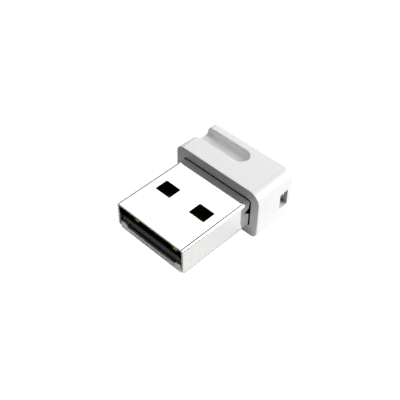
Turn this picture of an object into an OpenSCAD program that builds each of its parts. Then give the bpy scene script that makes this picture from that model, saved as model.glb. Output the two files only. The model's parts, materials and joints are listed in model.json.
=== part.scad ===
// USB wireless network adapter, nano size.
// Millimetres, +Z up. The origin is the middle of the plug's cross-section on the
// front face of the cap, where the plug stops when it is pushed home.
// The plug points to -Y, the cap to +Y, the finger groove faces +Z.

/* [Plug shell] */
// Width of the plug over the metal shell
plug_w = 12.0; // [11.8:0.1:12.2]
// Height of the plug over the metal shell
plug_h = 4.5; // [4.4:0.1:4.6]
// Length of the plug in front of the cap
plug_len = 12.2; // [11.8:0.1:12.6]
// Thickness of the shell's sheet metal
sheet_t = 0.3; // [0.26:0.02:0.32]
// Outside radius of the shell's four long bends
bend_r = 0.45; // [0.4:0.05:0.5]
// Length of shell held inside the cap
shell_root = 2.7; // [2.2:0.1:2.8]
// Width of one latch window
window_w = 2.6; // [2.2:0.02:2.7]
// Length of one latch window
window_len = 2.1; // [1.8:0.1:2.2]
// Distance from the plug's tip to the windows
window_setback = 5.3; // [5:0.1:5.6]
// Distance between the middles of a pair of windows
window_pitch = 6.14; // [5.8:0.02:6.4]

/* [Front lip] */
// Width of the turned-up lip at the tip of the plug
lip_w = 11.0; // [10.6:0.1:11.1]
// Height of the lip in its middle, from the underside of the plug
lip_h = 1.08; // [0.9:0.02:1.2]
// Extra height of the two ears at the ends of the lip
ear_rise = 0.45; // [0.3:0.05:0.5]
// Width of one ear
ear_w = 1.05; // [0.8:0.05:1.2]

/* [Cap] */
// Width of the cap at its front face
cap_w = 14.9; // [14.4:0.02:15.2]
// Length of the cap
cap_len = 7.3; // [7:0.02:7.6]
// Height of the cap's top above the middle of the plug, at the front
cap_top = 3.88; // [3.8:0.02:4.1]
// Depth of the cap's underside below the middle of the plug
cap_bottom = 3.95; // [3.8:0.05:4.2]
// How much each side of the cap moves in toward the rear
side_draft = 0.26; // [0.1:0.02:0.5]
// How much the top of the cap drops toward the rear
top_draft = 0.32; // [0.1:0.02:0.5]
// Radius of the cap's upper long edge on the eyelet side
top_edge_r = 1.8; // [1.4:0.1:2]
// Radius of the cap's upper long edge where the groove runs out
left_edge_r = 1.0; // [0.8:0.1:1.6]
// Radius of the cap's lower long edges
low_edge_r = 1.0; // [0.6:0.05:1.1]
// Radius of the cap's rear edges
rear_edge_r = 0.4; // [0.2:0.05:0.5]

/* [Groove and eyelet] */
// Width of the finger groove
groove_w = 2.66; // [2.3:0.02:2.8]
// Distance from the cap's front face to the middle of the groove
groove_y = 4.5; // [4.3:0.1:4.6]
// How far the groove runs past the middle of the cap
groove_reach = 1.4; // [0.8:0.1:2]
// Height of the groove's floor above the middle of the plug
groove_floor = 2.2; // [2.1:0.05:2.6]
// Width of the strap eyelet in the right side
eyelet_w = 1.6; // [1.4:0.05:1.7]
// Height of the strap eyelet
eyelet_h = 2.65; // [2.2:0.05:2.7]
// Distance from the cap's front face to the middle of the eyelet
eyelet_y = 5.56; // [5.5:0.01:5.7]

/* [Contacts and board] */
// Width of one contact
contact_w = 1.0; // [0.9:0.05:1.1]
// Thickness of the circuit board
board_t = 0.8; // [0.7:0.05:0.85]
// Side of the square radio chip
chip_w = 5.0; // [4.6:0.2:5.4]
// Height of the radio chip
chip_h = 0.85; // [0.7:0.05:0.88]

/* [Hidden] */
$fn = 64;

white = [0.92, 0.92, 0.91];
nickel = [0.80, 0.79, 0.77];
black = [0.09, 0.09, 0.10];
mask = [0.05, 0.09, 0.07];
gold = [0.85, 0.62, 0.25];
solder = [0.72, 0.73, 0.75];
tan_ceramic = [0.66, 0.55, 0.42];

fit = 0.05;
room_w = plug_w - 2 * sheet_t;
room_h = plug_h - 2 * sheet_t;
tip = -plug_len;
side_lean = atan(side_draft / cap_len);
top_lean = atan(top_draft / cap_len);

tray_w = room_w - 2 * fit;
tray_front = tip + sheet_t + fit;
bumper_back = tray_front + 0.7;
tray_rear = -0.9;
stop_front = -3.2;
rail_in = 5.32;

board_top = -0.05;
board_low = board_top - board_t;
board_w = 10.54;
board_front = bumper_back + fit;
board_rear = 5.8;
board_step_y = 3.9;
board_step_x = 4.45;
track_t = 0.05;

chip_y = -6.6;
crystal_at = [-3.1, 0.85];
inductor_at = [0.35, 0.85];
regulator_at = [3.15, 0.85];
filter_at = [0.2, 3.3];

// A rectangle with four round corners, centred
module round_rect(w, h, r) {
    square([w - 2 * r, h], center = true);
    square([w, h - 2 * r], center = true);
    for (sx = [-1, 1], sy = [-1, 1])
        translate([sx * (w / 2 - r), sy * (h / 2 - r)])
            circle(r);
}

// Extrudes an outline drawn in X and Z from y0 to y1
module along_y(y0, y1) {
    translate([0, y1, 0])
        rotate([90, 0, 0])
            linear_extrude(y1 - y0)
                children();
}

// Extrudes an outline drawn in Y and Z over the width w, centred
module along_x(w) {
    translate([-w / 2, 0, 0])
        rotate([90, 0, 90])
            linear_extrude(w)
                children();
}

// A block given by two opposite corners
module block(a, b) {
    translate(a)
        cube([b[0] - a[0], b[1] - a[1], b[2] - a[2]]);
}

// Outline of the cap with its upper edges rounded, open far below
module upper_outline() {
    half = cap_w / 2;
    for (side = [[-1, left_edge_r], [1, top_edge_r]])
        mirror([side[0] < 0 ? 1 : 0, 0]) {
            r = side[1];
            translate([-1, -9])
                square([half + 1, 9 + cap_top - r]);
            translate([-1, -9])
                square([half + 1 - r, 9 + cap_top]);
            translate([half - r, cap_top - r])
                circle(r);
        }
}

// Outline of the cap with its lower edges rounded, open far above
module lower_outline() {
    r = low_edge_r;
    translate([-cap_w / 2, r - cap_bottom])
        square([cap_w, 9 + cap_bottom - r]);
    translate([r - cap_w / 2, -cap_bottom])
        square([cap_w - 2 * r, 9 + cap_bottom]);
    for (s = [-1, 1])
        translate([s * (cap_w / 2 - r), r - cap_bottom])
            circle(r);
}

// Seen from above: the cap's length with its rear corners rounded
module plan_outline() {
    half = cap_w / 2 - side_draft;
    r = rear_edge_r;
    translate([-cap_w, 0])
        square([2 * cap_w, cap_len - r]);
    translate([r - half, 0])
        square([2 * (half - r), cap_len]);
    for (s = [-1, 1])
        translate([s * (half - r), cap_len - r])
            circle(r);
}

// Seen from the side: the cap's length with its rear edges rounded
module side_outline() {
    r = rear_edge_r;
    high = cap_top - top_draft - r;
    low = r - cap_bottom;
    translate([0, -9])
        square([cap_len - r, 18]);
    translate([0, low])
        square([cap_len, high - low]);
    for (z = [low, high])
        translate([cap_len - r, z])
            circle(r);
}

// A long bar with the given outline, leaned so that one side and the top are drafted
module drafted_bar(s, lean) {
    rotate([-lean, 0, 0])
        rotate([0, 0, s * side_lean])
            along_y(-1, cap_len + 1)
                children();
}

// The cap's outside: the common part of four leaning bars and its two side views
module cap_body() {
    intersection() {
        drafted_bar(1, top_lean)
            upper_outline();
        drafted_bar(-1, top_lean)
            upper_outline();
        drafted_bar(1, 0)
            lower_outline();
        drafted_bar(-1, 0)
            lower_outline();
        translate([0, 0, -6])
            linear_extrude(12)
                plan_outline();
        along_x(2 * cap_w)
            side_outline();
    }
}

// Half of the groove's section: straight wall, rounded into a flat floor
module groove_section() {
    r = 0.6;
    square([groove_w / 2 - r, 4]);
    translate([0, r])
        square([groove_w / 2, 4]);
    translate([groove_w / 2 - r, r])
        circle(r);
}

module groove_cut() {
    end_x = groove_reach - groove_w / 2;
    translate([0, groove_y, groove_floor]) {
        translate([end_x, 0, 0])
            rotate_extrude()
                intersection() {
                    groove_section();
                    square([9, 9]);
                }
        for (s = [0, 1])
            translate([end_x - 10, 0, 0])
                mirror([0, s, 0])
                    rotate([90, 0, 90])
                        linear_extrude(10)
                            groove_section();
    }
}

// Strap eyelet: in through the right side, out through the rear
module eyelet_cut() {
    mid_z = -0.53;
    deep_x = 5.9;
    bar_x = 6.54;
    translate([deep_x, eyelet_y, mid_z])
        rotate([90, 0, 90])
            linear_extrude(3)
                round_rect(eyelet_w, eyelet_h, 0.15);
    translate([(deep_x + bar_x) / 2, cap_len + 1, mid_z])
        rotate([90, 0, 0])
            linear_extrude(cap_len + 1 - eyelet_y)
                round_rect(bar_x - deep_x, eyelet_h - 0.02, 0.15);
}

module housing_cap() {
    color(white)
        difference() {
            cap_body();
            // sleeve around the metal shell
            along_y(-1, shell_root + fit)
                round_rect(plug_w + 0.3, plug_h + 0.3, bend_r + 0.15);
            // room for the rear end of the board
            block([-5.75, 1, -2.9], [5.75, 4.3, 1.6]);
            block([-5.75, 2, -2.9], [4.8, 6.05, 1.6]);
            groove_cut();
            eyelet_cut();
        }
}

// Front lip seen from the side: the floor of the shell bent up through a round corner
module lip_side() {
    r = 0.35;
    low = -plug_h / 2;
    translate([tip, low + r])
        square([sheet_t, 1.6 - r]);
    translate([tip + r, low])
        square([1.2, sheet_t]);
    intersection() {
        translate([tip + r, low + r])
            difference() {
                circle(r);
                circle(r - sheet_t);
            }
        translate([tip, low])
            square([r, r]);
    }
}

// Front lip seen from the tip: a bar with a raised ear at each end
module lip_front() {
    half = lip_w / 2;
    low = -plug_h / 2 - 1;
    mid = lip_h - plug_h / 2;
    high = mid + ear_rise;
    in_x = half - ear_w;
    difference() {
        polygon([[-half, low], [half, low], [half, high - 0.15], [half - 0.13, high - 0.01],
            [in_x + 0.32, high], [in_x + 0.18, high - 0.08], [in_x, mid], [-in_x, mid],
            [-in_x - 0.18, high - 0.08], [-in_x - 0.32, high], [0.13 - half, high - 0.01],
            [-half, high - 0.15]]);
        // small root notches beside the ears
        for (s = [-1, 1])
            translate([s * (in_x - 0.1), mid])
                circle(0.09);
    }
}

// One dovetail of the seam, smaller all round by inset
module dovetail(inset) {
    polygon([[-0.1, inset - 0.45], [0.9 - inset, inset - 0.8],
        [0.9 - inset, 0.8 - inset], [-0.1, 0.45 - inset]]);
}

// The seam along the underside, locked by two dovetails
module seam_cut() {
    low = -plug_h / 2 - 0.5;
    gap = 0.05;
    locks = [-7.4, -2.0];
    translate([0, 0, low])
        linear_extrude(1)
            difference() {
                union() {
                    translate([-gap / 2, tip - 1])
                        square([gap, plug_len + shell_root + 2]);
                    for (y = locks)
                        translate([0, y])
                            dovetail(0);
                }
                for (y = locks)
                    translate([0, y])
                        dovetail(gap);
            }
}

// Triangular opening in the shell's side behind its retaining barb
module barb_opening() {
    rotate([90, 0, 90])
        linear_extrude(3 * plug_w, center = true)
            polygon([[-1, 0.66], [0.05, -0.1], [0.5, -0.1], [0.5, 1.24], [-0.08, 1.2]]);
}

// Relief cut at the foot of both side walls' front ends
module foot_relief() {
    low = -plug_h / 2;
    along_x(2 * plug_w)
        polygon([[tip - 1, low - 1], [tip + 0.34, low - 1], [tip + 0.34, low],
            [tip, low + 0.75], [tip - 1, low + 0.75]]);
}

module usb_shell() {
    low = -plug_h / 2;
    color(nickel)
        difference() {
            union() {
                difference() {
                    along_y(tip, shell_root)
                        round_rect(plug_w, plug_h, bend_r);
                    along_y(tip - 1, shell_root + 1)
                        round_rect(room_w, room_h, bend_r - sheet_t);
                    // the floor is cut back at the tip, which also frees the lip from the side walls
                    block([-room_w / 2, tip - 1, low - 1], [room_w / 2, tip + 0.7, 0]);
                    foot_relief();
                }
                intersection() {
                    along_x(lip_w)
                        lip_side();
                    along_y(tip - 1, tip + 3)
                        lip_front();
                }
            }
            for (s = [-1, 1])
                translate([s * window_pitch / 2 - window_w / 2, tip + window_setback, -9])
                    cube([window_w, window_len, 18]);
            seam_cut();
            barb_opening();
        }
}

// Side view of the tray's front bar, with its upper front edge sloped
module bumper_side() {
    low = fit - room_h / 2;
    high = -0.2;
    slope = 0.2;
    polygon([[tray_front, low], [bumper_back, low], [bumper_back, high],
        [tray_front + slope, high], [tray_front, high - slope]]);
}

module board_tray() {
    low = fit - room_h / 2;
    high = room_h / 2 - fit;
    half = tray_w / 2;
    color(black)
        union() {
            along_x(tray_w)
                bumper_side();
            for (s = [0, 1])
                mirror([s, 0, 0]) {
                    block([rail_in, bumper_back - 0.1, low], [half, tray_rear, 0]);
                    block([4.7, bumper_back - 0.1, low], [rail_in + 0.1, tray_rear, board_low - fit / 2]);
                    block([rail_in, stop_front, -0.1], [half, tray_rear, high]);
                }
            // stop wall above the board and tie bar below it
            block([-half, stop_front, 0.06], [half, tray_rear, high]);
            block([-half, -2.2, low], [half, tray_rear, board_low - fit / 2]);
        }
}

module board_outline() {
    half = board_w / 2;
    polygon([[-half, board_front + 0.3], [0.3 - half, board_front], [half - 0.3, board_front],
        [half, board_front + 0.3], [half, board_step_y], [board_step_x, board_step_y],
        [board_step_x, board_rear], [-half, board_rear]]);
}

module circuit_board() {
    color(mask)
        translate([0, 0, board_low])
            linear_extrude(board_t)
                difference() {
                    board_outline();
                    for (x = [-4.6, 4.6])
                        translate([x, 3.1])
                            circle(0.3);
                }
}

// One flat contact finger on the board; x is its middle, setback its distance from the tip
module contact_finger(x, setback) {
    front = tip + setback;
    rear = stop_front - 0.3;
    translate([x, (front + rear) / 2, board_top])
        linear_extrude(track_t)
            round_rect(contact_w, rear - front, 0.3);
}

module contact_vbus() {
    color(gold)
        contact_finger(3.5, 1.15);
}

module contact_data_minus() {
    color(gold)
        contact_finger(1.0, 2.15);
}

module contact_data_plus() {
    color(gold)
        contact_finger(-1.0, 2.15);
}

module contact_ground() {
    color(gold)
        contact_finger(-3.5, 1.15);
}

// The chip hangs under the board; a shallow round dimple marks its first pin
module wifi_chip() {
    color([0.07, 0.07, 0.075])
        difference() {
            translate([0, chip_y, board_low - chip_h])
                linear_extrude(chip_h)
                    square(chip_w, center = true);
            translate([0.6 - chip_w / 2, chip_y + chip_w / 2 - 0.6, board_low - chip_h - 1])
                cylinder(h = 1.06, r = 0.25);
        }
}

module wifi_chip_leads() {
    count = 10;
    pitch = 0.4;
    color(solder)
        for (turn = [0 : 3], k = [0 : count - 1])
            translate([0, chip_y, board_low - 0.2])
                rotate([0, 0, 90 * turn])
                    translate([chip_w / 2, (k - (count - 1) / 2) * pitch - 0.11, 0])
                        cube([0.22, 0.22, 0.2]);
}

module crystal_case() {
    color([0.86, 0.84, 0.78])
        translate([crystal_at[0], crystal_at[1], board_top])
            linear_extrude(0.5)
                round_rect(3.2, 2.5, 0.15);
}

module crystal_lid() {
    color([0.78, 0.76, 0.72])
        translate([crystal_at[0], crystal_at[1], board_top + 0.5])
            linear_extrude(0.2)
                round_rect(2.9, 2.2, 0.3);
}

module inductor_core() {
    color([0.28, 0.28, 0.29])
        translate([inductor_at[0], inductor_at[1], board_top])
            block([-0.8, -0.65, 0], [0.8, 0.65, 0.95]);
}

module inductor_ends() {
    color(solder)
        for (s = [-1, 1])
            translate([inductor_at[0], inductor_at[1] + s * 0.825, board_top])
                block([-0.8, -0.175, 0], [0.8, 0.175, 0.95]);
}

module regulator_body() {
    color(black)
        translate([regulator_at[0], regulator_at[1], board_top + 0.08])
            block([-0.8, -1.45, 0], [0.8, 1.45, 0.95]);
}

// One formed lead seen from the side: foot on the board, riser, shoulder into the body
module formed_lead() {
    polygon([[1.42, 0], [1.42, 0.12], [1.12, 0.12], [1.12, 0.56], [0.8, 0.56],
        [0.8, 0.44], [1.0, 0.44], [1.0, 0]]);
}

module regulator_leads() {
    color(solder)
        translate([regulator_at[0], regulator_at[1], board_top])
            for (s = [0, 1], y = [-0.95, 0, 0.95])
                if (s == 0 || y != 0)
                    mirror([s, 0, 0])
                        translate([0, y + 0.2, 0])
                            rotate([90, 0, 0])
                                linear_extrude(0.4)
                                    formed_lead();
}

module rf_filter_body() {
    color([0.42, 0.50, 0.58])
        translate([filter_at[0], filter_at[1], board_top])
            block([-0.75, -0.6, 0], [0.75, 0.6, 0.7]);
}

module rf_filter_ends() {
    color(solder)
        translate([filter_at[0], filter_at[1], board_top])
            for (s = [-1, 1])
                translate([s * 0.875, 0, 0])
                    block([-0.125, -0.6, 0], [0.125, 0.6, 0.7]);
}

// Copper antenna printed as a meander across the rear end of the board
module antenna_trace() {
    w = 0.28;
    pitch = 0.8;
    legs = 11;
    y0 = 4.3;
    y1 = 5.6;
    x0 = -4.85;
    color(gold)
        translate([0, 0, board_top])
            linear_extrude(track_t)
                union() {
                    for (k = [0 : legs - 1])
                        translate([x0 + k * pitch, y0])
                            square([w, y1 - y0]);
                    for (k = [0 : legs - 2])
                        translate([x0 + k * pitch, k % 2 == 0 ? y1 - w : y0])
                            square([pitch + w, w]);
                }
}

// Places of the small parts: x, y, quarter turns, side of the board (1 top, -1 bottom)
capacitor_spots = [[-1.6, 3.35, 1, 1], [2.05, 3.35, 1, 1], [-3.6, -8.2, 0, -1],
    [-3.6, -6.9, 0, -1], [-3.6, -5.6, 0, -1], [3.6, -8.2, 0, -1],
    [3.6, -5.0, 0, -1], [-1.4, -10.3, 0, -1], [1.4, -10.3, 0, -1],
    [-1.2, 0.9, 1, -1], [0, 0.9, 1, -1], [1.2, 0.9, 1, -1]];
resistor_spots = [[3.6, -6.6, 0, -1], [-3.6, -4.3, 0, -1], [-3.0, 3.35, 1, 1],
    [2.6, 0.9, 1, -1]];

// Puts a part that stands on z = 0 at one of those places
module place(spot) {
    translate([spot[0], spot[1], spot[3] > 0 ? board_top : board_low])
        rotate([spot[3] > 0 ? 0 : 180, 0, 90 * spot[2]])
            children();
}

module capacitor_bodies() {
    color(tan_ceramic)
        for (spot = capacitor_spots)
            place(spot)
                block([-0.26, -0.25, 0], [0.26, 0.25, 0.5]);
}

module capacitor_ends() {
    color(solder)
        for (spot = capacitor_spots, s = [-1, 1])
            place(spot)
                translate([s * 0.38, 0, 0])
                    block([-0.12, -0.25, 0], [0.12, 0.25, 0.5]);
}

module resistor_bodies() {
    color(black)
        for (spot = resistor_spots)
            place(spot)
                block([-0.3, -0.25, 0], [0.3, 0.25, 0.35]);
}

module resistor_ends() {
    color(solder)
        for (spot = resistor_spots, s = [-1, 1])
            place(spot)
                translate([s * 0.4, 0, 0])
                    block([-0.1, -0.25, 0], [0.1, 0.25, 0.35]);
}

// Solder fillets that ground the board's edges to the inside of the shell
module shell_solder() {
    wall = room_w / 2;
    color(solder)
        for (s = [0, 1])
            mirror([s, 0, 0])
                along_y(1.5, 2.4)
                    polygon([[wall - 0.75, board_top], [wall, board_top], [wall, board_top + 0.7]]);
}

housing_cap();
usb_shell();
board_tray();
circuit_board();
contact_vbus();
contact_data_minus();
contact_data_plus();
contact_ground();
wifi_chip();
wifi_chip_leads();
crystal_case();
crystal_lid();
inductor_core();
inductor_ends();
regulator_body();
regulator_leads();
rf_filter_body();
rf_filter_ends();
antenna_trace();
capacitor_bodies();
capacitor_ends();
resistor_bodies();
resistor_ends();
shell_solder();
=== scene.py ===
import json
import math

import bmesh
import bpy
from mathutils import Matrix, Vector


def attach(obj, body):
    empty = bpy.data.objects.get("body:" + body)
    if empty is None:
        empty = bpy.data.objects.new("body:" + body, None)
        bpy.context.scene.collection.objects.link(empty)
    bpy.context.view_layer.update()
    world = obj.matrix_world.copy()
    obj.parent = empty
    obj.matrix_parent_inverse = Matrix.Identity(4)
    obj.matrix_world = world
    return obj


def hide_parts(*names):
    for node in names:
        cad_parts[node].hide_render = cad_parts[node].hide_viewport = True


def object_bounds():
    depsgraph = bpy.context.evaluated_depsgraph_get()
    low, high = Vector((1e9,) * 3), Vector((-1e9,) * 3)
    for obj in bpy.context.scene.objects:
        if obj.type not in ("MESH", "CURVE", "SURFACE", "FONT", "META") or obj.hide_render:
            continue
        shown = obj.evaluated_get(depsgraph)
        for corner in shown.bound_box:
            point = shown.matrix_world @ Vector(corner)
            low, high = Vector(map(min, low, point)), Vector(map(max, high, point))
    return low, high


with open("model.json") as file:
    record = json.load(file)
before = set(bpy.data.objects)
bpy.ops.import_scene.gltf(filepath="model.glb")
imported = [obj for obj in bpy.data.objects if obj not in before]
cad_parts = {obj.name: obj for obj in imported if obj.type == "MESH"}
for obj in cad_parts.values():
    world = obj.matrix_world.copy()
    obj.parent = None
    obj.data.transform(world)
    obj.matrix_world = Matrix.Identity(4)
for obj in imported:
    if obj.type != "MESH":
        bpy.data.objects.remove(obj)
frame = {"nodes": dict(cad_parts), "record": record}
cad_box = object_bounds()
nodes = frame["nodes"]
scene = bpy.context.scene

# Meshes are drawn in millimetres and turned into metres once each is finished.
MM = 0.001
X, Y, Z = 0, 1, 2
FAR = 9.0

# ---------------------------------------------------------------- mesh helpers
MERGE_DISTANCE = 0.0008
FLAT_ANGLE = 0.6
SHARP_ANGLE = 28.0
SMOOTH_ANGLE = 35.0


def link_object(name, data):
    o = bpy.data.objects.new(name, data)
    scene.collection.objects.link(o)
    return o


def obj_from(name, bm):
    """A new object from a bmesh drawn in millimetres."""
    bmesh.ops.recalc_face_normals(bm, faces=bm.faces)
    mesh = bpy.data.meshes.new(name)
    bm.to_mesh(mesh)
    bm.free()
    return link_object(name, mesh)


def loft(rings):
    """Joins rings of equal length with quads; the two ends are closed with one face each."""
    bm = bmesh.new()
    made = [[bm.verts.new(p) for p in ring] for ring in rings]
    count = len(rings[0])
    for a, b in zip(made, made[1:]):
        for i in range(count):
            j = (i + 1) % count
            bm.faces.new((a[i], a[j], b[j], b[i]))
    bm.faces.new(made[0][::-1])
    bm.faces.new(made[-1])
    return bm


def prism(outline, axis, lo, hi):
    """Extrudes a 2D outline along an axis; the outline holds the other two axes in order."""
    def at(p, t):
        q = list(p)
        q.insert(axis, t)
        return tuple(q)
    return loft([[at(p, lo) for p in outline], [at(p, hi) for p in outline]])


def arc(cx, cy, r, a0, a1, n):
    """Points of an arc from a0 to a1 degrees in n steps."""
    return [(cx + r * math.cos(math.radians(a0 + (a1 - a0) * k / n)),
             cy + r * math.sin(math.radians(a0 + (a1 - a0) * k / n))) for k in range(n + 1)]


def rect(x0, y0, x1, y1):
    """Outline of a rectangle with sharp corners, anticlockwise."""
    return [(x0, y0), (x1, y0), (x1, y1), (x0, y1)]


def round_rect(w, h, r, n, cx=0.0, cy=0.0):
    """Outline of a rectangle with round corners about cx, cy, anticlockwise."""
    pts = []
    for sx, sy, a in ((1, 1, 0), (-1, 1, 90), (-1, -1, 180), (1, -1, 270)):
        pts += arc(cx + sx * (w / 2 - r), cy + sy * (h / 2 - r), r, a, a + 90, n)
    return pts


def smooth_corners(pts, radii, n=4):
    """Rounds each corner of a closed outline with its own radius; zero keeps the corner."""
    out = []
    count = len(pts)
    for i, r in enumerate(radii):
        p = Vector(pts[i])
        if r <= 0:
            out.append(tuple(p))
            continue
        a = (Vector(pts[i - 1]) - p).normalized()
        b = (Vector(pts[(i + 1) % count]) - p).normalized()
        half = a.angle(b) / 2
        reach = r / math.tan(half)
        centre = p + (a + b).normalized() * (r / math.sin(half))
        start, end = p + a * reach - centre, p + b * reach - centre
        sweep = start.angle_signed(end)
        for k in range(n + 1):
            t = -sweep * k / n
            out.append((centre.x + start.x * math.cos(t) - start.y * math.sin(t),
                        centre.y + start.x * math.sin(t) + start.y * math.cos(t)))
    return out


def bake_modifiers(o):
    """Puts the result of the object's modifiers into its mesh."""
    bpy.context.view_layer.update()
    graph = bpy.context.evaluated_depsgraph_get()
    done = bpy.data.meshes.new_from_object(o.evaluated_get(graph))
    o.modifiers.clear()
    old = o.data
    o.data = done
    bpy.data.meshes.remove(old)


def apply_boolean(target, cutter, operation):
    mod = target.modifiers.new("cut", "BOOLEAN")
    mod.operation = operation
    mod.solver = "EXACT"
    mod.object = cutter
    bake_modifiers(target)
    bpy.data.objects.remove(cutter)


def cut(target, bm):
    apply_boolean(target, obj_from("cutter", bm), "DIFFERENCE")


def join(target, bm):
    apply_boolean(target, obj_from("adder", bm), "UNION")


def keep_inside(target, bm):
    apply_boolean(target, obj_from("keeper", bm), "INTERSECT")


def clean(o):
    """Merges doubles and dissolves the seams that booleans leave on flat faces."""
    bm = bmesh.new()
    bm.from_mesh(o.data)
    bmesh.ops.remove_doubles(bm, verts=bm.verts, dist=MERGE_DISTANCE)
    bmesh.ops.dissolve_limit(bm, angle_limit=math.radians(FLAT_ANGLE),
                             use_dissolve_boundaries=False, verts=bm.verts, edges=bm.edges)
    bm.to_mesh(o.data)
    bm.free()


def bevel(o, width, segments, share):
    """Rounds each sharp edge by width times share(its midpoint)."""
    bm = bmesh.new()
    bm.from_mesh(o.data)
    layers = bm.edges.layers.float
    layer = layers.get("bevel_weight_edge") or layers.new("bevel_weight_edge")
    for e in bm.edges:
        e[layer] = 0.0
        if len(e.link_faces) == 2 and math.degrees(e.calc_face_angle(0.0)) > SHARP_ANGLE:
            e[layer] = share((e.verts[0].co + e.verts[1].co) / 2)
    bm.to_mesh(o.data)
    bm.free()
    mod = o.modifiers.new("bevel", "BEVEL")
    mod.width = width
    mod.segments = segments
    mod.limit_method = "WEIGHT"
    mod.use_clamp_overlap = False
    mod.miter_outer = "MITER_ARC"
    mod.profile = 0.5
    bake_modifiers(o)


def finish_piece(o, slot_name, node, smooth_angle=SMOOTH_ANGLE):
    """Millimetres to metres, smooth shading and material; the piece is attached to the root body and
    the CAD node it replaces is hidden.
    """
    o.data.transform(Matrix.Scale(MM, 4))
    o.data.update()
    for p in o.data.polygons:
        p.use_smooth = True
    o.data.set_sharp_from_angle(angle=math.radians(smooth_angle))
    mod = o.modifiers.new("normals", "WEIGHTED_NORMAL")
    mod.weight = 100
    mod.keep_sharp = True
    o.data.materials.clear()
    o.data.materials.append(MATS[slot_name])
    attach(o, "root")
    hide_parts(node)
    return o


# ---------------------------------------------------------------- material helpers
def new_material(name):
    m = bpy.data.materials.new(name)
    m.use_nodes = True
    tree = m.node_tree
    return m, tree, tree.nodes["Principled BSDF"]


def add(tree, kind, **settings):
    """A new node; settings are input values, with spaces written as underscores."""
    n = tree.nodes.new("ShaderNode" + kind)
    for key, value in settings.items():
        n.inputs[key.replace("_", " ")].default_value = value
    return n


def position(tree):
    """Where a point is on the part: the whole vector, and its three numbers."""
    where = tree.nodes.new("ShaderNodeTexCoord").outputs["Object"]
    split = tree.nodes.new("ShaderNodeSeparateXYZ")
    tree.links.new(where, split.inputs[0])
    return where, [split.outputs[i] for i in range(3)]


def noise_node(tree, vector, **settings):
    n = add(tree, "TexNoise", **settings)
    tree.links.new(vector, n.inputs["Vector"])
    return n.outputs["Fac"]


def math_node(tree, operation, a, b=None, clamp=False):
    n = tree.nodes.new("ShaderNodeMath")
    n.operation = operation
    n.use_clamp = clamp
    for i, v in enumerate((a, b)):
        if v is None:
            continue
        if isinstance(v, (int, float)):
            n.inputs[i].default_value = v
        else:
            tree.links.new(v, n.inputs[i])
    return n.outputs[0]


def ramp_node(tree, fac, low, high, ends=(0.3, 0.7)):
    """A colour that runs from low to high as fac passes from one end to the other."""
    n = tree.nodes.new("ShaderNodeValToRGB")
    for e, pos, col in zip(n.color_ramp.elements, ends, (low, high)):
        e.position = pos
        e.color = (*col, 1)
    tree.links.new(fac, n.inputs["Fac"])
    return n.outputs["Color"]


def mix_node(tree, factor, a, b):
    """Colour a where factor is zero and b where it is one; b is a socket or a plain colour."""
    n = tree.nodes.new("ShaderNodeMix")
    n.data_type = "RGBA"
    tree.links.new(factor, n.inputs["Factor"])
    tree.links.new(a, n.inputs["A"])
    if isinstance(b, tuple):
        n.inputs["B"].default_value = (*b, 1)
    else:
        tree.links.new(b, n.inputs["B"])
    return n.outputs["Result"]


def range_node(tree, value, low, high, start=0.0, end=1.0):
    n = add(tree, "MapRange", From_Min=start, From_Max=end, To_Min=low, To_Max=high)
    tree.links.new(value, n.inputs["Value"])
    return n.outputs["Result"]


def bump_node(tree, bsdf, height, strength, distance):
    n = add(tree, "Bump", Strength=strength, Distance=distance)
    tree.links.new(height, n.inputs["Height"])
    tree.links.new(n.outputs["Normal"], bsdf.inputs["Normal"])


def box_mask(tree, xyz, box):
    """One inside the box in millimetres, falling to zero over its softness."""
    lo, hi, soft = box
    total = None
    for axis in range(3):
        mid, half = (lo[axis] + hi[axis]) / 2 * MM, (hi[axis] - lo[axis]) / 2 * MM
        away = math_node(tree, "ABSOLUTE", math_node(tree, "SUBTRACT", xyz[axis], mid))
        room = math_node(tree, "SUBTRACT", half, away)
        inside = math_node(tree, "DIVIDE", room, soft * MM, clamp=True)
        total = inside if total is None else math_node(tree, "MULTIPLY", total, inside)
    return total


# ---------------------------------------------------------------- materials
# Regions of the part that a material treats apart, in millimetres:
# two opposite corners, and how far the edge of the region is softened.
# the next three regions get painted shade inside the cap's sleeve, eyelet and passage
SLEEVE_REGION = ((-6.3, 0.02, -2.55), (6.3, 2.9, 2.55), 0.01)
EYELET_REGION = ((5.0, 4.6, -1.84), (7.16, 6.5, 0.9), 0.12)
PASSAGE_REGION = ((5.8, 6.2, -1.91), (6.59, 7.28, 0.85), 0.03)
# painted shade on the cap's front face
FRONT_FACE_REGION = ((-9, -1, -9), (9, 0.05, 9), 0.03)
# painted brownish shade inside the plug shell
SHELL_INSIDE_REGION = ((-5.76, -11.87, -1.99), (5.76, 3.0, 1.99), 0.02)
# the next two regions hold painted dark reflection lines along the shell's bends
BEND_REFLECTION_LINE_REGION = ((5.56, -12.3, 2.1), (5.72, -1.3, 2.3), 0.03)
FAINT_LINE_REGION = ((5.90, -12.3, 1.7), (5.965, -0.9, 2.15), 0.02)
LIP_REGION = ((-5.6, -12.6, -2.5), (5.6, -12.1, -0.4), 0.02)
# painted light on the tray's front bar
TRAY_LIT_BAR_REGION = ((-5.8, -12.2, -2.2), (5.8, -11.0, -0.215), 0.01)

# How strongly each of those regions takes its painted shade, painted dark reflection line or extra
# roughness
EYELET_SHADE, PASSAGE_SHADE = 0.6, 0.9
BEND_REFLECTION_LINE_SHADE, FAINT_LINE_SHADE = 0.93, 0.45
LIP_EXTRA_ROUGHNESS = 0.20
# Painted shade grays the cap's front face upward, between these two heights
FACE_LOW, FACE_HIGH, FACE_SHADE = -2.6, 3.4, 0.5

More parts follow.
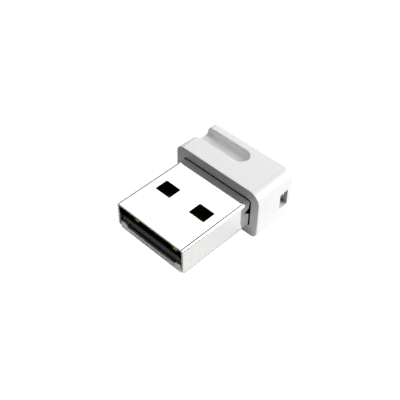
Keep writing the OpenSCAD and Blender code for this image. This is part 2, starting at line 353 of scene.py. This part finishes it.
# Painted shade and painted dark reflection colours, not the parts' own colours
PAINTED_SHADE_BLACK = (0.012, 0.012, 0.012)
FACE_SHADE_GRAY = (0.30, 0.30, 0.30)
SHELL_INSIDE_SHADE_BROWN = (0.085, 0.045, 0.016)
BEND_REFLECTION_GRAY = (0.03, 0.03, 0.03)

PLAIN_GRAIN, PLAIN_SPREAD, PLAIN_BUMP, PLAIN_DEPTH = 900.0, 0.06, 0.02, 0.00002


def plain(name, color, roughness, metallic=0.0):
    """A fine-grained surface: colour, roughness and bump all follow one noise."""
    m, tree, bsdf = new_material(name)
    bsdf.inputs["Metallic"].default_value = metallic
    where = tree.nodes.new("ShaderNodeTexCoord").outputs["Object"]
    grain = noise_node(tree, where, Scale=PLAIN_GRAIN, Detail=4.0)
    low = tuple(c * (1 - PLAIN_SPREAD) for c in color)
    tree.links.new(ramp_node(tree, grain, low, color), bsdf.inputs["Base Color"])
    rough = range_node(tree, grain, roughness * 0.9, roughness * 1.15)
    tree.links.new(rough, bsdf.inputs["Roughness"])
    bump_node(tree, bsdf, grain, PLAIN_BUMP, PLAIN_DEPTH)
    return m


def cap_material():
    """Glossy white moulded plastic with faint flow mottling; painted shade blackens the sleeve, eyelet
    and passage and grays the front face upward.
    """
    m, tree, bsdf = new_material("cap_plastic")
    where, xyz = position(tree)
    flow = noise_node(tree, where, Scale=180.0, Detail=3.0, Distortion=0.6)
    fine = noise_node(tree, where, Scale=9000.0, Detail=2.0)
    tint = ramp_node(tree, flow, (0.855, 0.855, 0.85), (0.87, 0.87, 0.868), ends=(0.35, 0.65))
    # painted shade: the sleeve, eyelet and passage are darkened toward black where shade falls inside
    # them
    sleeve = box_mask(tree, xyz, SLEEVE_REGION)
    eyelet = math_node(tree, "MULTIPLY", box_mask(tree, xyz, EYELET_REGION), EYELET_SHADE)
    passage = math_node(tree, "MULTIPLY", box_mask(tree, xyz, PASSAGE_REGION), PASSAGE_SHADE)
    painted_shade = math_node(tree, "MAXIMUM", sleeve, math_node(tree, "MAXIMUM", eyelet, passage))
    white = mix_node(tree, painted_shade, tint, PAINTED_SHADE_BLACK)
    # painted shade: the front face is grayed more towards its top
    rise = range_node(tree, xyz[Z], 0.0, FACE_SHADE, FACE_LOW * MM, FACE_HIGH * MM)
    face = math_node(tree, "MULTIPLY", box_mask(tree, xyz, FRONT_FACE_REGION), rise)
    tree.links.new(mix_node(tree, face, white, FACE_SHADE_GRAY), bsdf.inputs["Base Color"])
    tree.links.new(range_node(tree, flow, 0.17, 0.27), bsdf.inputs["Roughness"])
    bump_node(tree, bsdf, fine, 0.05, 0.000004)
    return m


def shell_material():
    """Nickel-plated steel: bright, with rolling grain along the plug and a satin lip; painted brownish
    shade inside, painted dark reflection lines along the bends.
    """
    m, tree, bsdf = new_material("shell_metal")
    bsdf.inputs["Metallic"].default_value = 1.0
    where, xyz = position(tree)
    stretch = add(tree, "Mapping", Scale=(4000.0, 250.0, 4000.0))
    tree.links.new(where, stretch.inputs["Vector"])
    grain = noise_node(tree, stretch.outputs["Vector"], Scale=1.0, Detail=3.0)
    cloud = noise_node(tree, where, Scale=320.0, Detail=3.0)
    tint = ramp_node(tree, cloud, (0.92, 0.91, 0.895), (0.935, 0.925, 0.91))
    # painted shade: the inside of the shell is painted dark brown, shade with a brownish painted
    # reflection
    metal = mix_node(tree, box_mask(tree, xyz, SHELL_INSIDE_REGION), tint, SHELL_INSIDE_SHADE_BROWN)
    # painted dark reflection lines where the flat top turns into each bend
    side = [math_node(tree, "ABSOLUTE", xyz[X]), xyz[Y], xyz[Z]]
    faint = math_node(tree, "MULTIPLY", box_mask(tree, side, FAINT_LINE_REGION), FAINT_LINE_SHADE)
    line = math_node(tree, "MAXIMUM", box_mask(tree, side, BEND_REFLECTION_LINE_REGION), faint)
    line = math_node(tree, "MULTIPLY", line, BEND_REFLECTION_LINE_SHADE)
    tree.links.new(mix_node(tree, line, metal, BEND_REFLECTION_GRAY), bsdf.inputs["Base Color"])
    satin = math_node(tree, "MULTIPLY", box_mask(tree, xyz, LIP_REGION), LIP_EXTRA_ROUGHNESS)
    rough = math_node(tree, "ADD", range_node(tree, grain, 0.06, 0.11), satin)
    tree.links.new(rough, bsdf.inputs["Roughness"])
    bump_node(tree, bsdf, grain, 0.02, 0.000001)
    return m


def tray_material():
    """Black moulded nylon: satin, with a mottled moulding skin; painted light makes the front bar
    paler and painted shade keeps the rest near black.
    """
    m, tree, bsdf = new_material("tray_plastic")
    where, xyz = position(tree)
    skin = noise_node(tree, where, Scale=2600.0, Detail=4.0)
    cloud = noise_node(tree, where, Scale=400.0, Detail=2.0)
    # painted shade and painted light: one black plastic, kept near black inside and painted paler on
    # the front bar
    dark = ramp_node(tree, cloud, (0.010, 0.010, 0.011), (0.014, 0.014, 0.015))
    bar = ramp_node(tree, skin, (0.105, 0.105, 0.107), (0.12, 0.12, 0.122))
    color = mix_node(tree, box_mask(tree, xyz, TRAY_LIT_BAR_REGION), dark, bar)
    tree.links.new(color, bsdf.inputs["Base Color"])
    tree.links.new(range_node(tree, cloud, 0.30, 0.42), bsdf.inputs["Roughness"])
    bump_node(tree, bsdf, skin, 0.08, 0.000008)
    return m


MATS = {"cap_plastic": cap_material(), "shell_metal": shell_material(),
        "tray_plastic": tray_material()}
# name, colour, roughness, metallic
for slot_row in (
    ("board_laminate", (0.015, 0.03, 0.02), 0.35, 0.0),
    ("contact_gold", (0.92, 0.46, 0.12), 0.36, 1.0),
    ("chip_epoxy", (0.02, 0.02, 0.022), 0.5, 0.0),
    ("tin_solder", (0.7, 0.71, 0.73), 0.3, 1.0),
    ("crystal_ceramic", (0.78, 0.74, 0.66), 0.5, 0.0),
    ("crystal_metal", (0.75, 0.72, 0.65), 0.3, 1.0),
    ("ferrite", (0.12, 0.12, 0.13), 0.6, 0.0),
    ("filter_ceramic", (0.3, 0.4, 0.5), 0.5, 0.0),
    ("antenna_copper", (0.8, 0.5, 0.2), 0.3, 1.0),
    ("capacitor_ceramic", (0.5, 0.36, 0.24), 0.5, 0.0),
    ("resistor_coat", (0.03, 0.03, 0.03), 0.3, 0.0),
):
    MATS[slot_row[0]] = plain(*slot_row)
for row in frame["record"]["subparts"]:
    cad_materials = nodes[row["node"]].data.materials
    cad_materials.clear()
    cad_materials.append(MATS[row["material_slot"]])


# ---------------------------------------------------------------- cap
CAP_HALF, CAP_LEN, CAP_TOP, CAP_LOW = 7.45, 7.3, 3.88, -3.95
SIDE_DRAFT, TOP_DRAFT = 0.26, 0.32
# Radii of the long edges at the front, and how much smaller two of them are at the rear
TOP_RIGHT_R = 1.8
TOP_LEFT_R, TOP_LEFT_LESS = 1.25, 0.5
LOW_R, LOW_LESS = 1.1, 0.45
REAR_R, FRONT_R = 0.40, 0.08
TOP_STEPS, LOW_STEPS, FRONT_STEPS, REAR_STEPS = 14, 7, 3, 6
GROOVE_Y, GROOVE_W, GROOVE_END, GROOVE_FLOOR, GROOVE_R = 4.5, 2.66, 1.4, 2.2, 0.6
GROOVE_OUT, GROOVE_OVER, GROOVE_ROUND_STEPS, GROOVE_FLOOR_STEPS = -12.0, 6.0, 24, 8
SLEEVE_W, SLEEVE_H, SLEEVE_R, SLEEVE_DEPTH = 12.3, 4.8, 0.6, 2.75
# The pocket for the board's rear end, in two steps: right end, front, rear
POCKET_LEFT, POCKET_LOW, POCKET_HIGH = -5.75, -2.9, 1.6
POCKET_STEPS = ((5.75, 1.0, 4.3), (4.8, 2.0, 6.05))
EYELET_W, EYELET_H, EYELET_Y, EYELET_Z = 1.6, 2.65, 5.56, -0.53
EYELET_DEEP_X, EYELET_R = 5.9, 0.15
PASSAGE_W, PASSAGE_H, PASSAGE_X = 0.64, 2.63, 6.22
CAP_BEVEL, EYELET_BEVEL = 0.12, 0.09


def cap_ring(y, inset=0.0):
    """The cap's outline at y, moved inward by inset."""
    t = y / CAP_LEN
    half = CAP_HALF - SIDE_DRAFT * t - inset
    top = CAP_TOP - TOP_DRAFT * t - inset
    low = CAP_LOW + inset
    right_r = TOP_RIGHT_R - inset
    left_r = TOP_LEFT_R - TOP_LEFT_LESS * t - inset
    low_r = LOW_R - LOW_LESS * t - inset
    pts = arc(half - right_r, top - right_r, right_r, 0, 90, TOP_STEPS)
    pts += arc(-half + left_r, top - left_r, left_r, 90, 180, TOP_STEPS)
    pts += arc(-half + low_r, low + low_r, low_r, 180, 270, LOW_STEPS)
    pts += arc(half - low_r, low + low_r, low_r, 270, 360, LOW_STEPS)
    return [(x, y, z) for x, z in pts]


def cap_shape():
    rings = []
    for k in range(FRONT_STEPS + 1):
        a = math.radians(90 * k / FRONT_STEPS)
        rings.append(cap_ring(FRONT_R * (1 - math.cos(a)), FRONT_R * (1 - math.sin(a))))
    rings.append(cap_ring(CAP_LEN - REAR_R))
    for k in range(1, REAR_STEPS + 1):
        a = math.radians(90 * k / REAR_STEPS)
        rings.append(cap_ring(CAP_LEN - REAR_R + REAR_R * math.sin(a), REAR_R * (1 - math.cos(a))))
    return loft(rings)


def groove_ring(z, inset):
    """Outline of the groove at height z: open far out on the left, half round on the right."""
    r = GROOVE_W / 2 - inset
    cx = GROOVE_END - GROOVE_W / 2
    pts = [(GROOVE_OUT, GROOVE_Y - r)] + arc(cx, GROOVE_Y, r, -90, 90, GROOVE_ROUND_STEPS)
    pts.append((GROOVE_OUT, GROOVE_Y + r))
    return [(x, y, z) for x, y in pts]


def groove_shape():
    rings = []
    for k in range(GROOVE_FLOOR_STEPS + 1):
        a = math.radians(90 * k / GROOVE_FLOOR_STEPS)
        rings.append(groove_ring(GROOVE_FLOOR + GROOVE_R * (1 - math.cos(a)),
                                 GROOVE_R * (1 - math.sin(a))))
    rings.append(groove_ring(GROOVE_OVER, 0.0))
    return loft(rings)


def cap_edge_share(mid):
    """Only the eyelet's and the groove's edges are rounded, the groove's front edge twice as much."""
    inside = abs(mid.x) < 5.9 and -3.0 < mid.z < 1.9 and 0.5 < mid.y < 6.3
    if inside or mid.y < 0.02:
        return 0.0
    if mid.x > 5.4 and mid.z < 1.0:
        return EYELET_BEVEL / CAP_BEVEL
    if mid.y > 2.5 and mid.z > 2.3 and mid.x < 2.0:
        return 1.0 + max(0.0, min(1.0, (GROOVE_Y + GROOVE_W / 2 - mid.y) / GROOVE_W))
    return 0.0


def build_cap():
    cap = obj_from("cap", cap_shape())
    cut(cap, prism(round_rect(SLEEVE_W, SLEEVE_H, SLEEVE_R, 8), Y, -1.0, SLEEVE_DEPTH))
    for right_end, front, rear in POCKET_STEPS:
        cut(cap, prism(rect(POCKET_LEFT, POCKET_LOW, right_end, POCKET_HIGH), Y, front, rear))
    cut(cap, groove_shape())
    hole = round_rect(EYELET_W, EYELET_H, EYELET_R, 4, EYELET_Y, EYELET_Z)
    cut(cap, prism(hole, X, EYELET_DEEP_X, FAR))
    passage = round_rect(PASSAGE_W, PASSAGE_H, EYELET_R, 4, PASSAGE_X, EYELET_Z)
    cut(cap, prism(passage, Y, EYELET_Y, FAR))
    clean(cap)
    bevel(cap, CAP_BEVEL, 3, cap_edge_share)
    finish_piece(cap, "cap_plastic", "housing_cap")


build_cap()

# ---------------------------------------------------------------- plug shell
PLUG_W, PLUG_H, PLUG_LEN, ROOT = 12.0, 4.5, 12.2, 2.7
SHEET, BEND = 0.3, 0.45
TIP, UNDER = -PLUG_LEN, -PLUG_H / 2
ROOM_HALF = PLUG_W / 2 - SHEET
FLOOR_CUT = 0.7
LIP_W, LIP_MID, LIP_HIGH, LIP_BEND = 11.0, -1.17, -0.70, 0.35
LIP_RISE, LIP_ROOT = 1.9, 1.4
EAR_TOP, EAR_FOOT = 0.78, 1.12
EAR_RADII = [0, 0.16, 0.16, 0.12]
SEAM_GAP = 0.05
DOVETAILS = (-7.4, -2.0)
DOVETAIL_LEN, DOVETAIL_ROOT, DOVETAIL_END = 0.9, 0.45, 0.8
WINDOW_W, WINDOW_LEN, WINDOW_R = 2.6, 2.1, 0.08
WINDOW_X, WINDOW_SHIFT, WINDOW_Y = 3.07, 0.05, TIP + 6.3
RELIEF_LEN, RELIEF_RISE = 0.34, 0.75
BARB = [(-1.05, 0.68), (0.06, -0.1), (0.5, -0.1), (0.5, 1.24), (-0.08, 1.2)]
BARB_RADII = [0.04, 0, 0, 0, 0]
EDGE_BEVEL = 0.03


def lip_arc(r, angles):
    """Points on the lip's bend, seen from the side; zero degrees is straight down."""
    return [(TIP + LIP_BEND - r * math.sin(math.radians(a)),
             UNDER + LIP_BEND - r * math.cos(math.radians(a))) for a in angles]


def lip_shape():
    """Front lip: the shell's floor turned up through a round corner, with an ear at each end."""
    side = [(TIP, UNDER + LIP_RISE)] + lip_arc(LIP_BEND, range(90, -1, -9))
    side += [(TIP + LIP_ROOT, UNDER), (TIP + LIP_ROOT, UNDER + SHEET)]
    side += lip_arc(LIP_BEND - SHEET, range(0, 91, 30))
    side += [(TIP + SHEET, UNDER + LIP_RISE)]
    half = LIP_W / 2
    lip = obj_from("lip", prism(side, X, -half, half))
    right = [(half, UNDER - 1), (half, LIP_HIGH), (half - EAR_TOP, LIP_HIGH),
             (half - EAR_FOOT, LIP_MID - 0.03)]
    left = [(-x, z) for x, z in right[::-1]]
    outline = smooth_corners(right + left, EAR_RADII + EAR_RADII[::-1])
    keep_inside(lip, prism(outline, Y, TIP - 1, TIP + 3))
    return lip


def dovetail(y, inset):
    return [(-0.1, y + inset - DOVETAIL_ROOT), (DOVETAIL_LEN - inset, y + inset - DOVETAIL_END),
            (DOVETAIL_LEN - inset, y + DOVETAIL_END - inset), (-0.1, y + DOVETAIL_ROOT - inset)]


def seam_cutter():
    """A hair-wide slit along the underside that steps round two dovetails."""
    strip = rect(-SEAM_GAP / 2, TIP - 1, SEAM_GAP / 2, ROOT + 1)
    cutter = obj_from("seam", prism(strip, Z, UNDER - 0.5, UNDER + 0.5))
    for y in DOVETAILS:
        join(cutter, prism(dovetail(y, 0), Z, UNDER - 0.501, UNDER + 0.501))
    for y in DOVETAILS:
        cut(cutter, prism(dovetail(y, SEAM_GAP), Z, UNDER - 0.6, UNDER + 0.6))
    return cutter


def shell_edge_share(mid):
    """The seam, the feet of the front corners and all that is inside the cap stay sharp."""
    seam = mid.z < UNDER + 0.6 and abs(mid.x) < 1.2
    foot = mid.z < UNDER + 0.5 and abs(mid.x) > 5.4
    return 0.0 if seam or foot or mid.y >= 0.0 else 1.0


def build_shell():
    shell = obj_from("shell", prism(round_rect(PLUG_W, PLUG_H, BEND, 14), Y, TIP, ROOT))
    inner = round_rect(PLUG_W - 2 * SHEET, PLUG_H - 2 * SHEET, BEND - SHEET, 6)
    cut(shell, prism(inner, Y, TIP - 1, ROOT + 1))
    cut(shell, prism(rect(-ROOM_HALF, UNDER - 1, ROOM_HALF, 0), Y, TIP - 1, TIP + FLOOR_CUT))
    relief = [(TIP - 1, UNDER - 1), (TIP + RELIEF_LEN, UNDER - 1), (TIP + RELIEF_LEN, UNDER),
              (TIP, UNDER + RELIEF_RISE), (TIP - 1, UNDER + RELIEF_RISE)]
    cut(shell, prism(relief, X, -FAR, FAR))
    apply_boolean(shell, lip_shape(), "UNION")
    for s in (-1, 1):
        window = round_rect(WINDOW_W, WINDOW_LEN, WINDOW_R, 4, s * WINDOW_X - WINDOW_SHIFT, WINDOW_Y)
        cut(shell, prism(window, Z, -FAR, FAR))
    cut(shell, prism(smooth_corners(BARB, BARB_RADII), X, -FAR, FAR))
    apply_boolean(shell, seam_cutter(), "DIFFERENCE")
    clean(shell)
    bevel(shell, EDGE_BEVEL, 2, shell_edge_share)
    finish_piece(shell, "shell_metal", "usb_shell")


build_shell()

# ---------------------------------------------------------------- tray
TRAY_FIT = 0.05
BAR_DEPTH, BAR_TOP, BAR_SLOPE, BAR_END_SLOPE = 0.75, -0.2, 0.2, 0.22
DENT_OUT, DENT_IN, DENT_DEPTH, DENT_BELOW = 4.62, 4.38, 0.16, 0.06
RAIL_X, LEDGE_X, TRAY_REAR, STOP_FRONT, TIE_FRONT = 5.32, 4.7, -0.9, -3.2, -2.2
BOARD_LOW, STOP_LOW = -0.875, 0.06
# Joined blocks are kept this little apart from each other's faces, so that no two coincide
HAIR, STEP = 0.0003, 0.001


def block(lo, hi):
    return prism(rect(lo[0], lo[1], hi[0], hi[1]), Z, lo[2], hi[2])


def build_tray():
    low = UNDER + SHEET + TRAY_FIT
    high = -low
    half = PLUG_W / 2 - SHEET - TRAY_FIT
    front, back = TIP + SHEET + TRAY_FIT, TIP + SHEET + BAR_DEPTH
    bar_side = [(front, low), (back, low), (back, BAR_TOP), (front + BAR_SLOPE, BAR_TOP),
                (front, BAR_TOP - BAR_SLOPE)]
    tray = obj_from("tray", prism(bar_side, X, -half, half))
    # shallow recess in the front face, its ends sloped
    dent = [(-DENT_OUT, front - 1), (DENT_OUT, front - 1), (DENT_OUT, front),
            (DENT_IN, front + DENT_DEPTH), (-DENT_IN, front + DENT_DEPTH), (-DENT_OUT, front)]
    cut(tray, prism(dent, Z, low - 1, BAR_TOP - BAR_SLOPE - DENT_BELOW))
    # the two ends of the front face are sloped as well
    for s in (-1, 1):
        wedge = [(s * (half + 1), front - 1), (s * (half - BAR_END_SLOPE), front - 1),
                 (s * (half - BAR_END_SLOPE), front), (s * half, front + BAR_END_SLOPE),
                 (s * (half + 1), front + BAR_END_SLOPE)]
        cut(tray, prism(wedge if s < 0 else wedge[::-1], Z, low - 1, 1))
    for s in (-1, 1):
        x0, x1 = sorted((s * RAIL_X, s * half))
        join(tray, block((x0, back - 0.1, low), (x1, TRAY_REAR, 0)))
        x0, x1 = sorted((s * LEDGE_X, s * (RAIL_X + 0.1)))
        join(tray, block((x0, back - 0.1, low + HAIR), (x1, TRAY_REAR - HAIR, BOARD_LOW)))
        x0, x1 = sorted((s * RAIL_X, s * (half - HAIR)))
        join(tray, block((x0 - HAIR, STOP_FRONT, -0.1), (x1, TRAY_REAR - 2 * HAIR, high)))
    join(tray, block((-half + STEP, STOP_FRONT + STEP, STOP_LOW),
                     (half - STEP, TRAY_REAR - STEP, high - HAIR)))
    join(tray, block((-half + STEP, TIE_FRONT, low + 2 * HAIR),
                     (half - STEP, TRAY_REAR - 2 * STEP, BOARD_LOW - HAIR)))
    clean(tray)
    bevel(tray, EDGE_BEVEL, 2, lambda mid: 1.0)
    finish_piece(tray, "tray_plastic", "board_tray")


build_tray()

# ---------------------------------------------------------------- contacts
CONTACT_HALF_W, CONTACT_THICK, CONTACT_HIGH, CONTACT_REAR = 0.5, 0.05, 0.02, -3.5
# How far the front end is drawn forward, rounded in plan, and rolled down
CONTACT_FORWARD, CONTACT_ROUND, CONTACT_NOSE = 0.2, 0.45, 0.3
NOSE_WIDTH, CROWN = 0.25, 0.012
CONTACT_ROWS, CONTACT_COLUMNS, ROW_CROWDING = 20, 8, 2.2
CONTACT_SMOOTH_ANGLE = 60
# name, x of its middle, distance of its CAD front end from the tip, CAD node
CONTACTS = (
    ("finger_1", 3.5, 1.15, "contact_vbus"),
    ("finger_2", 1.0, 2.15, "contact_data_minus"),
    ("finger_3", -1.0, 2.15, "contact_data_plus"),
    ("finger_4", -3.5, 1.15, "contact_ground"),
)


def quarter(d, r):
    """Height of a quarter circle of radius r at distance d from its start, as a share of r."""
    return math.sqrt(max(0.0, 1 - ((r - d) / r) ** 2)) if d < r else 1.0


def build_contact(name, x, setback, node):
    """A thin gold finger: its front end rolls down over the board's edge, and it is crowned."""
    front = TIP + setback - CONTACT_FORWARD
    bm = bmesh.new()
    grid = []
    for i in range(CONTACT_ROWS + 1):
        d = (CONTACT_REAR - front) * (i / CONTACT_ROWS) ** ROW_CROWDING
        width = CONTACT_HALF_W * (quarter(d, CONTACT_ROUND) * (1 - NOSE_WIDTH) + NOSE_WIDTH)
        drop = CONTACT_NOSE - CONTACT_NOSE * quarter(d, CONTACT_NOSE)
        row = []
        for k in range(CONTACT_COLUMNS + 1):
            u = -1 + 2 * k / CONTACT_COLUMNS
            z = CONTACT_HIGH - drop - CROWN * abs(u) ** 3
            row.append(bm.verts.new((x + width * u, front + d, z)))
        grid.append(row)
    for a, b in zip(grid, grid[1:]):
        for k in range(CONTACT_COLUMNS):
            bm.faces.new((a[k], a[k + 1], b[k + 1], b[k]))
    ret = bmesh.ops.extrude_face_region(bm, geom=list(bm.faces))
    for v in ret["geom"]:
        if isinstance(v, bmesh.types.BMVert):
            v.co.z = min(v.co.z, 0.0) - CONTACT_THICK
    finish_piece(obj_from(name, bm), "contact_gold", node, CONTACT_SMOOTH_ANGLE)


for contact_row in CONTACTS:
    build_contact(*contact_row)

# ---------------------------------------------------------------- camera
AZIMUTH, ELEVATION, ROLL = math.radians(43.81), math.radians(44.98), math.radians(0.73)
TARGET = Vector((-0.308, -2.779, 0.0)) * MM
DISTANCE = 101.69 * MM
SENSOR = 36.0
# focal length as a share of the frame's width
FOCAL_SHARE = 764.6 / 400


def build_camera():
    back = Vector((math.sin(AZIMUTH) * math.cos(ELEVATION),
                   -math.cos(AZIMUTH) * math.cos(ELEVATION), math.sin(ELEVATION)))
    level = Vector((math.cos(AZIMUTH), math.sin(AZIMUTH), 0))
    up = back.cross(level)
    rolled_right = level * math.cos(ROLL) + up * math.sin(ROLL)
    rolled_up = -level * math.sin(ROLL) + up * math.cos(ROLL)
    turn = Matrix((rolled_right, rolled_up, back)).transposed().to_4x4()
    data = bpy.data.cameras.new("camera")
    data.sensor_width = SENSOR
    data.lens = SENSOR * FOCAL_SHARE
    data.clip_start = 0.002
    data.clip_end = 5.0
    o = link_object("camera", data)
    o.matrix_world = Matrix.Translation(TARGET + back * DISTANCE) @ turn
    scene.camera = o


build_camera()

# ---------------------------------------------------------------- floor and light
PAPER_GLOW, BOUNCE_GRAY, WORLD_GLOW = 1.05, 0.68, 0.03
FLOOR_Z, FLOOR_HALF = cad_box[0][2], 1.5
PAPER_BELOW, BOUNCE_BELOW = 0.00002, 0.00001
WALL_R, WALL_TOP, WALL_SIDES = 0.9, 0.65, 64
# name, place in metres, width and height in metres, power in watts; all face the origin
LIGHTS = (
    ("softbox_back_left", (-0.26, 0.235, 0.29), (0.34, 0.40), 0.60),
    ("right", (0.40, 0.05, 0.25), (0.30, 0.25), 0.30),
    ("right_back", (0.30, 0.33, 0.15), (0.30, 0.25), 1.4),
    ("left", (-0.45, 0.05, 0.12), (0.30, 0.20), 0.30),
    ("overhead", (0.05, 0.05, 0.5), (0.30, 0.30), 0.68),
    ("back_left_low", (-0.20, 0.38, 0.09), (0.30, 0.12), 0.25),
    ("right_high", (0.25, 0.25, 0.35), (0.25, 0.25), 0.46),
    ("front_left_spot", (-0.245, -0.355, 0.235), (0.18, 0.18), 0.09),
)
# Dim sheets in front that only gloss shows, so that bare metal looks like metal from behind
REFLECTORS = (
    ("reflector_front", (0.12, -0.42, 0.20), (0.45, 0.28), 0.10),
    ("reflector_front_high", (0.17, -0.25, 0.46), (0.34, 0.40), 0.12),
    ("reflector_front_right", (0.42, -0.22, 0.20), (0.36, 0.30), 0.10),
)
# A small card that lies on the floor at the right of the plug and lights its side
CARD_AT, CARD_SIZE, CARD_POWER = (0.0235, 0.016, -0.0038), (0.033, 0.056), 0.0019


def area(name, loc, size, power, aim=(0, 0, 0)):
    """A rectangular soft light that faces the point aim."""
    light = bpy.data.lights.new(name, "AREA")
    light.shape = "RECTANGLE"
    light.size, light.size_y = size
    light.energy = power
    o = link_object(name, light)
    o.location = loc
    o.rotation_euler = (Vector(aim) - Vector(loc)).to_track_quat("-Z", "Y").to_euler()
    return o


def stage_piece(name, points, faces, material):
    mesh = bpy.data.meshes.new(name)
    mesh.from_pydata(points, [], faces)
    mesh.materials.append(material)
    o = link_object(name, mesh)
    return o


def ground(name, z, material):
    """One big level sheet under the object."""
    s = FLOOR_HALF
    return stage_piece(name, [(-s, -s, z), (s, -s, z), (s, s, z), (-s, s, z)],
                       [(0, 1, 2, 3)], material)


def stage_material(name, **values):
    m, _, bsdf = new_material(name)
    for key, value in values.items():
        bsdf.inputs[key.replace("_", " ")].default_value = value
    return m


# The camera sees only the bright paper: on the floor, and as a round wall far behind for
# cameras that look along the floor. The sheet just above the paper gives the light that
# the floor throws back.
paper_look = stage_material("paper", Base_Color=(0, 0, 0, 1), Roughness=1.0,
                            Emission_Color=(1, 1, 1, 1), Emission_Strength=PAPER_GLOW)
paper = ground("paper", FLOOR_Z - PAPER_BELOW, paper_look)
bounce_look = stage_material("bounce", Base_Color=(BOUNCE_GRAY,) * 3 + (1,), Roughness=0.9)
bounce = ground("bounce", FLOOR_Z - BOUNCE_BELOW, bounce_look)
bounce.visible_camera = False
wall_turns = [2 * math.pi * k / WALL_SIDES for k in range(WALL_SIDES)]
wall = stage_piece(
    "backdrop",
    [(WALL_R * math.cos(t), WALL_R * math.sin(t), z) for z in (FLOOR_Z, WALL_TOP) for t in wall_turns],
    [(k, (k + 1) % WALL_SIDES, WALL_SIDES + (k + 1) % WALL_SIDES, WALL_SIDES + k)
     for k in range(WALL_SIDES)],
    paper_look)
for seen_only in (paper, wall):
    seen_only.visible_diffuse = False
    seen_only.visible_glossy = False
    seen_only.visible_shadow = False

for light_row in LIGHTS:
    area(*light_row)
for reflector_row in REFLECTORS:
    reflector = area(*reflector_row)
    reflector.visible_camera = False
    reflector.visible_diffuse = False
card = area("floor_card", CARD_AT, CARD_SIZE, CARD_POWER, aim=(CARD_AT[0], CARD_AT[1], 1.0))
card.visible_camera = False

world = bpy.data.worlds.new("world")
scene.world = world
world.use_nodes = True
background = world.node_tree.nodes["Background"]
background.inputs["Color"].default_value = (1, 1, 1, 1)
background.inputs["Strength"].default_value = WORLD_GLOW
scene.view_settings.view_transform = "Standard"
